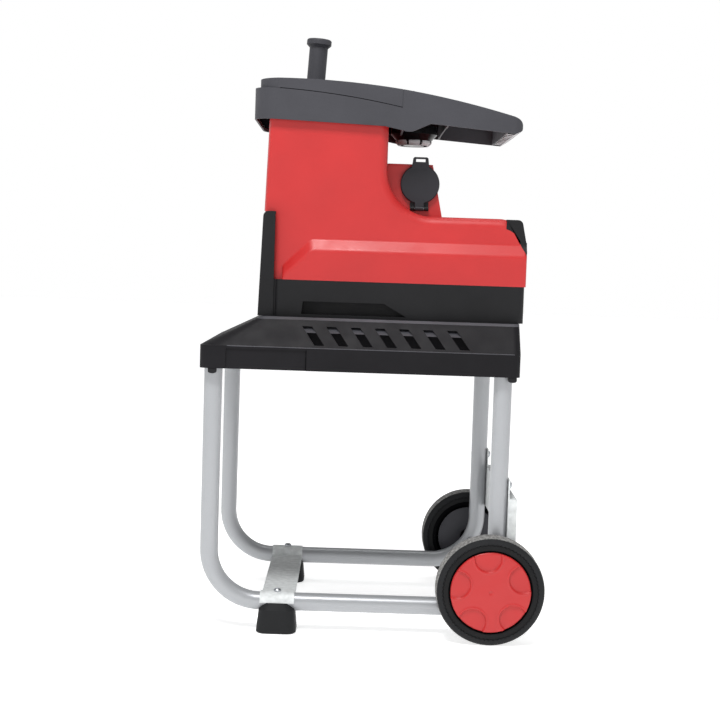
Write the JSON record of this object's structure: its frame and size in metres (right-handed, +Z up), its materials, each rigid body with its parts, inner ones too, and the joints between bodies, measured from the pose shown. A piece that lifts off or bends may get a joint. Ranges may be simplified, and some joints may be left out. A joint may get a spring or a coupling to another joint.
{
  "type": "garden shredder",
  "caption": "Electric garden shredder on a wheeled tube stand: red motor body, slotted tray, grey feed hopper with pusher and handle, flap-covered inlet, geared cutting drum.",
  "frame": {"origin": "on the floor, under the middle of the overall box", "axes": "+Z up, -X the front with the hopper and the feet, +X the rear with the wheels and the handle, -Y the left side with the inlet"},
  "size_m": [0.5352, 0.48, 0.9338],
  "materials": {
    "silver_steel": "satin",
    "zinc_steel": "satin",
    "foot_rubber": "matte",
    "tyre": "matte",
    "red_plastic": "satin",
    "black_plastic": "matte",
    "tray_plastic": "matte",
    "hopper_plastic": "matte",
    "flap_plastic": "matte",
    "green_plastic": "satin",
    "stop_red_plastic": "satin",
    "cast_alloy": "cast",
    "counter_alloy": "machined",
    "copper_wire": "lacquered",
    "capacitor_can": "satin"
  },
  "bodies": {
    "machine": {"left_frame_tube": "silver_steel", "right_frame_tube": "silver_steel", "front_cross_plate": "silver_steel", "rear_cross_plate": "zinc_steel", "frame_bolts": "zinc_steel", "wheel_axle": "zinc_steel", "axle_push_nuts": "zinc_steel", "tray_screws": "zinc_steel", "inlet_pins": "zinc_steel", "flap_hinge_pin": "zinc_steel", "drum_bearings": "zinc_steel", "motor_stator": "zinc_steel", "motor_bearings": "zinc_steel", "left_foot": "foot_rubber", "right_foot": "foot_rubber", "left_body_shell": "red_plastic", "right_body_shell": "red_plastic", "switch_box": "red_plastic", "switch_box_lid": "red_plastic", "bag_hooks": "black_plastic", "base_housing": "black_plastic", "front_cover": "black_plastic", "rear_vent_cap": "black_plastic", "switch_plate": "black_plastic", "switch_block": "black_plastic", "inlet_socket": "black_plastic", "selector_pod": "black_plastic", "feed_chute": "black_plastic", "base_tray": "tray_plastic", "hopper_base": "hopper_plastic", "hopper_funnel": "hopper_plastic", "cutting_chamber": "cast_alloy", "gear_case": "cast_alloy", "gear_case_cover": "cast_alloy", "motor_end_shield": "cast_alloy", "motor_windings": "copper_wire", "run_capacitor": "capacitor_can"},
    "left_wheel": {"left_wheel_rim": "black_plastic", "left_tyre": "tyre", "left_wheel_cap": "red_plastic"},
    "right_wheel": {"right_wheel_rim": "black_plastic", "right_tyre": "tyre", "right_wheel_cap": "red_plastic"},
    "pusher": {"pusher": "hopper_plastic"},
    "flap": {"inlet_flap": "flap_plastic"},
    "start_key": {"start_button": "green_plastic"},
    "stop_key": {"stop_button": "stop_red_plastic"},
    "reset_key": {"reset_button": "black_plastic"},
    "selector": {"selector_knob": "flap_plastic"},
    "rotor": {"motor_rotor": "zinc_steel", "motor_fan": "black_plastic"},
    "gear_one": {"first_gear": "zinc_steel"},
    "gear_two": {"second_gear": "zinc_steel"},
    "drum": {"cutting_drum": "zinc_steel", "drum_shaft": "zinc_steel", "drum_gear": "zinc_steel"},
    "adjuster": {"adjusting_screw": "zinc_steel", "adjusting_knob": "black_plastic"},
    "counter": {"counter_plate": "counter_alloy"}
  },
  "joints": [
    {"name": "left_wheel_spin", "type": "hinge", "parent": "machine", "child": "left_wheel", "pos_m": [0.18514, -0.216, 0.0825], "axis": [0, 1, 0], "continuous": true},
    {"name": "right_wheel_spin", "type": "hinge", "parent": "machine", "child": "right_wheel", "pos_m": [0.18514, 0.216, 0.0825], "axis": [0, 1, 0], "continuous": true},
    {"name": "pusher_lift", "type": "slide", "parent": "machine", "child": "pusher", "axis": [0, 0, 1], "range_m": [0, 0.3]},
    {"name": "flap_hinge", "type": "hinge", "parent": "machine", "child": "flap", "pos_m": [0.06286, -0.0867, 0.661], "axis": [1, 0, 0], "range_deg": [0, 70], "stiffness_Nm_per_rad": 0.02, "springref_deg": -22.92},
    {"name": "start_press", "type": "slide", "parent": "machine", "child": "start_key", "axis": [-0.9806, 0, -0.1959], "range_m": [0, 0.004], "stiffness_N_per_m": 300, "springref_m": -0.002},
    {"name": "stop_press", "type": "slide", "parent": "machine", "child": "stop_key", "axis": [-0.9806, 0, -0.1959], "range_m": [0, 0.004], "stiffness_N_per_m": 300, "springref_m": -0.002},
    {"name": "reset_press", "type": "slide", "parent": "machine", "child": "reset_key", "axis": [-0.9806, 0, -0.1959], "range_m": [0, 0.004], "stiffness_N_per_m": 300, "springref_m": -0.002},
    {"name": "selector_turn", "type": "hinge", "parent": "machine", "child": "selector", "pos_m": [0.05386, 0, 0.82], "axis": [0, 0, 1], "range_deg": [-60, 60]},
    {"name": "rotor_spin", "type": "hinge", "parent": "machine", "child": "rotor", "pos_m": [0.1, -0.014, 0.56], "axis": [1, 0, 0], "continuous": true},
    {"name": "first_gear_spin", "type": "hinge", "parent": "machine", "child": "gear_one", "pos_m": [0.02, 0.02627, 0.53675], "axis": [1, 0, 0], "continuous": true},
    {"name": "second_gear_spin", "type": "hinge", "parent": "machine", "child": "gear_two", "pos_m": [0.02, 0.02627, 0.58325], "axis": [1, 0, 0], "continuous": true},
    {"name": "drum_spin", "type": "hinge", "parent": "machine", "child": "drum", "pos_m": [-0.11114, -0.014, 0.56], "axis": [1, 0, 0], "continuous": true},
    {"name": "adjuster_turn", "type": "hinge", "parent": "machine", "child": "adjuster", "pos_m": [-0.11114, 0.14, 0.565], "axis": [0, 1, 0], "range_deg": [-241, 601]},
    {"name": "counter_slide", "type": "slide", "parent": "machine", "child": "counter", "axis": [0, 1, 0], "range_m": [-0.001, 0.0025]}
  ],
  "couplings": [
    {"joint": "first_gear_spin", "follows": "rotor_spin", "ratio": -0.24},
    {"joint": "second_gear_spin", "follows": "rotor_spin", "ratio": 0.0576},
    {"joint": "drum_spin", "follows": "rotor_spin", "ratio": -0.013824},
    {"joint": "adjuster_turn", "follows": "counter_slide", "rad_per_m": 4188.8}
  ]
}
